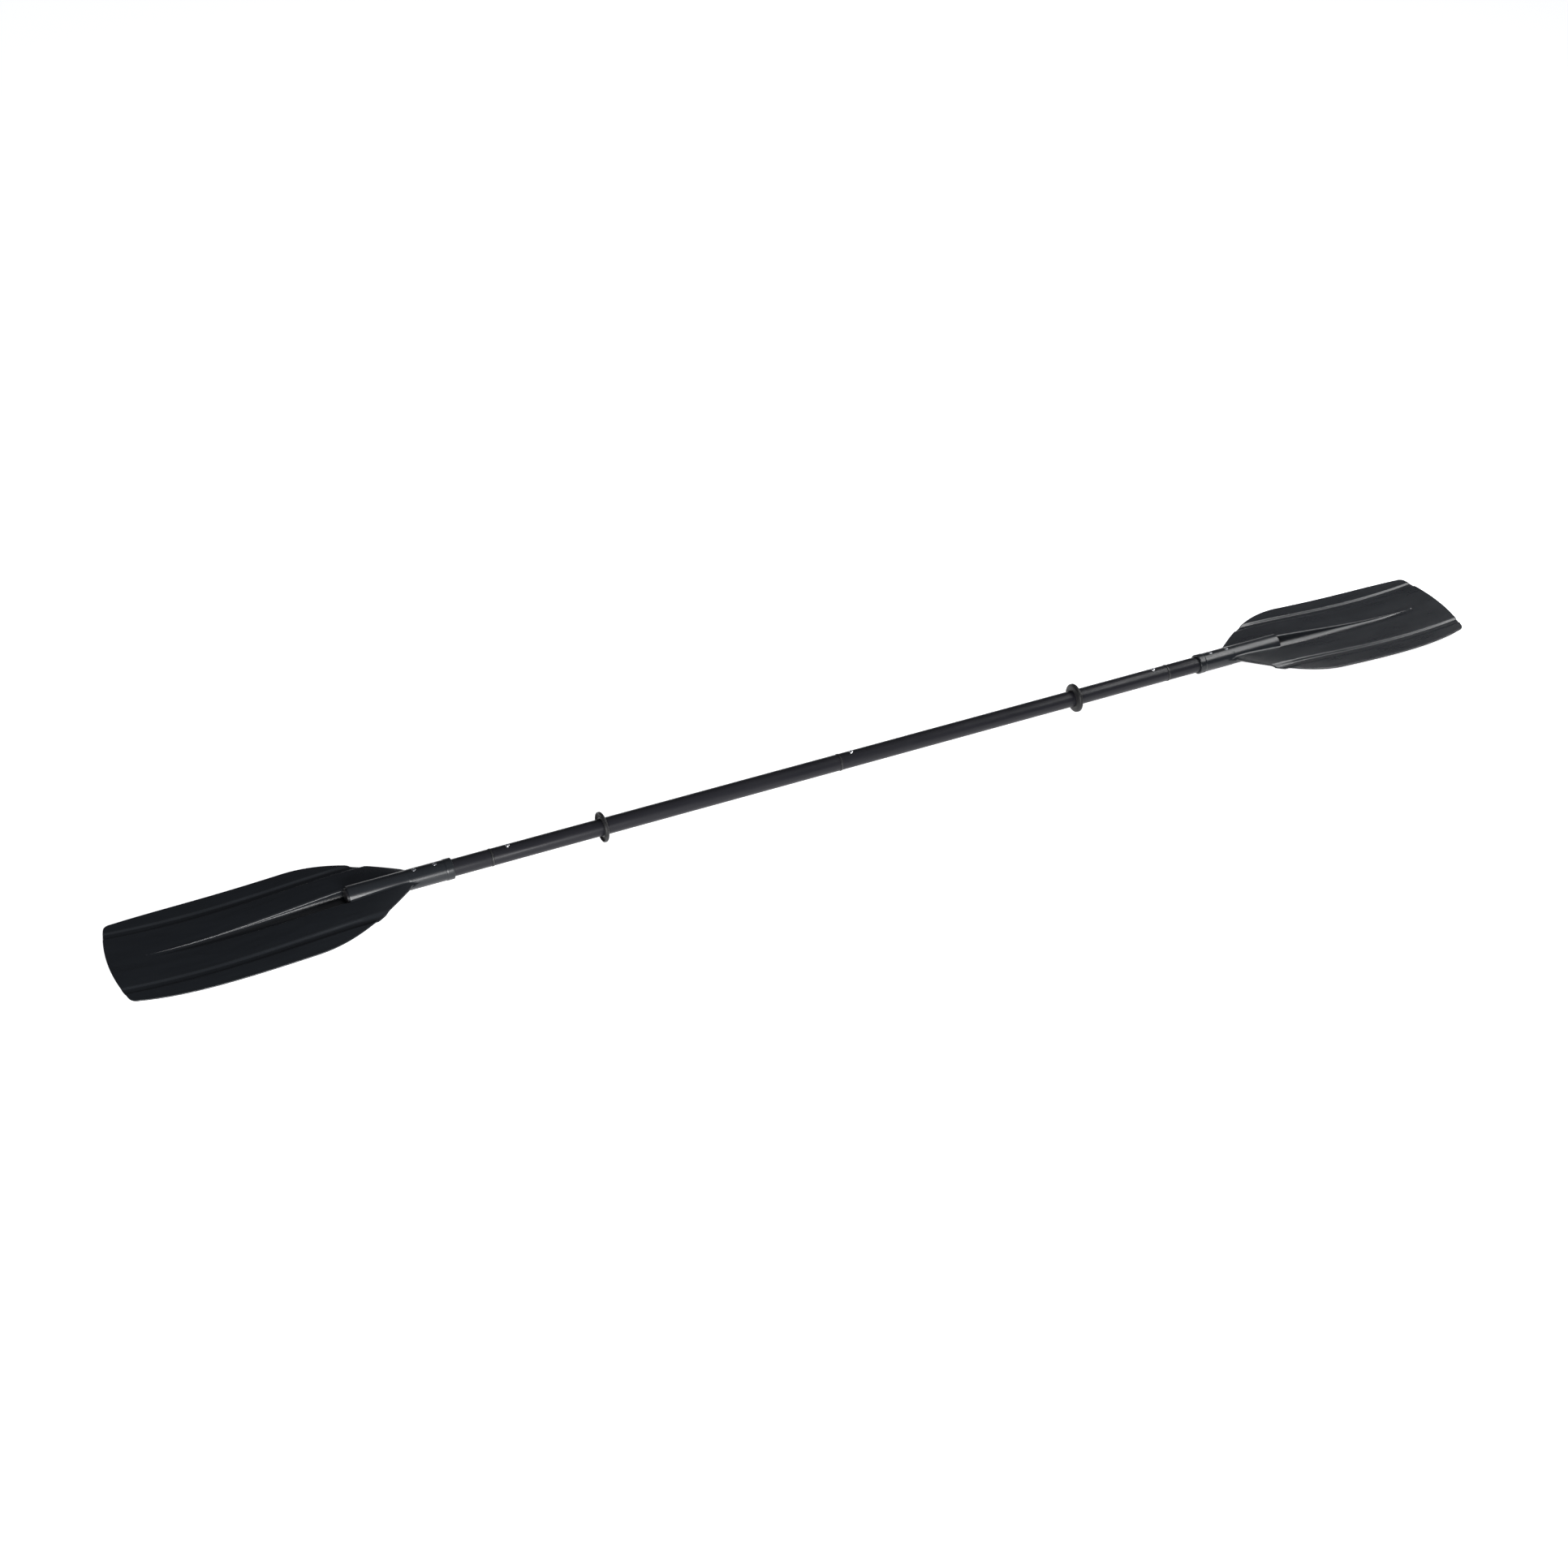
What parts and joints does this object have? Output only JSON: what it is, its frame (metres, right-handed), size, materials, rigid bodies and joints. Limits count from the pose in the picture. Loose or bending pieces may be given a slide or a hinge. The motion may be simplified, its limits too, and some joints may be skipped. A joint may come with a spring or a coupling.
{
  "type": "kayak paddle",
  "caption": "Double-bladed take-apart kayak paddle: straight tubular shaft with spring-button joints, cupped drip rings and long spooned blades set in one plane.",
  "frame": {"origin": "on the shaft's axis at mid-length, which is also the centre of the bounding box", "axes": "+X along the shaft to the right blade, +Y across the blades, +Z out of the blades' power faces and through the spring buttons"},
  "size_m": [2.2, 0.1854, 0.0448],
  "materials": {
    "shaft_tube": "satin",
    "blade": "satin",
    "moulding": "satin",
    "drip_ring": "matte",
    "spring_steel": "polished",
    "rivet": "satin",
    "foam": "matte"
  },
  "bodies": {
    "left_shaft": {"left_shaft_tube": "shaft_tube", "center_ferrule": "moulding", "center_snap_clip": "spring_steel", "left_inner_plug": "foam", "left_outer_plug": "foam"},
    "right_shaft": {"right_shaft_tube": "shaft_tube", "right_inner_plug": "foam", "right_outer_plug": "foam"},
    "left_blade_section": {"left_blade": "blade", "left_blade_tube": "shaft_tube", "left_tube_cap": "moulding", "left_neck_rivet_1": "rivet", "left_neck_rivet_2": "rivet", "left_ferrule": "moulding", "left_snap_clip": "spring_steel"},
    "right_blade_section": {"right_blade": "blade", "right_blade_tube": "shaft_tube", "right_tube_cap": "moulding", "right_neck_rivet_1": "rivet", "right_neck_rivet_2": "rivet", "right_ferrule": "moulding", "right_snap_clip": "spring_steel"},
    "center_button": {"center_snap_button": "spring_steel"},
    "left_button": {"left_snap_button": "spring_steel"},
    "right_button": {"right_snap_button": "spring_steel"},
    "left_ring": {"left_drip_ring": "drip_ring"},
    "right_ring": {"right_drip_ring": "drip_ring"}
  },
  "joints": [
    {"name": "center_pull", "type": "slide", "parent": "left_shaft", "child": "right_shaft", "axis": [1, 0, 0], "range_m": [0, 0.1], "deforming": ["center_snap_button"]},
    {"name": "left_blade_pull", "type": "slide", "parent": "left_shaft", "child": "left_blade_section", "axis": [-1, 0, 0], "range_m": [0, 0.1], "deforming": ["left_snap_button"]},
    {"name": "right_blade_pull", "type": "slide", "parent": "right_shaft", "child": "right_blade_section", "axis": [1, 0, 0], "range_m": [0, 0.1], "deforming": ["right_snap_button"]},
    {"name": "center_button_press", "type": "slide", "parent": "left_shaft", "child": "center_button", "axis": [0, 0, -1], "range_m": [0, 0.0042], "stiffness_N_per_m": 1500, "springref_m": -0.002, "deforming": ["center_snap_clip"]},
    {"name": "left_button_press", "type": "slide", "parent": "left_blade_section", "child": "left_button", "axis": [0, 0, -1], "range_m": [0, 0.0042], "stiffness_N_per_m": 1500, "springref_m": -0.002, "deforming": ["left_snap_clip"]},
    {"name": "right_button_press", "type": "slide", "parent": "right_blade_section", "child": "right_button", "axis": [0, 0, -1], "range_m": [0, 0.0042], "stiffness_N_per_m": 1500, "springref_m": -0.002, "deforming": ["right_snap_clip"]},
    {"name": "left_ring_slide", "type": "slide", "parent": "left_shaft", "child": "left_ring", "axis": [1, 0, 0], "range_m": [-0.13, 0.36]},
    {"name": "right_ring_slide", "type": "slide", "parent": "right_shaft", "child": "right_ring", "axis": [1, 0, 0], "range_m": [-0.37, 0.13]}
  ]
}
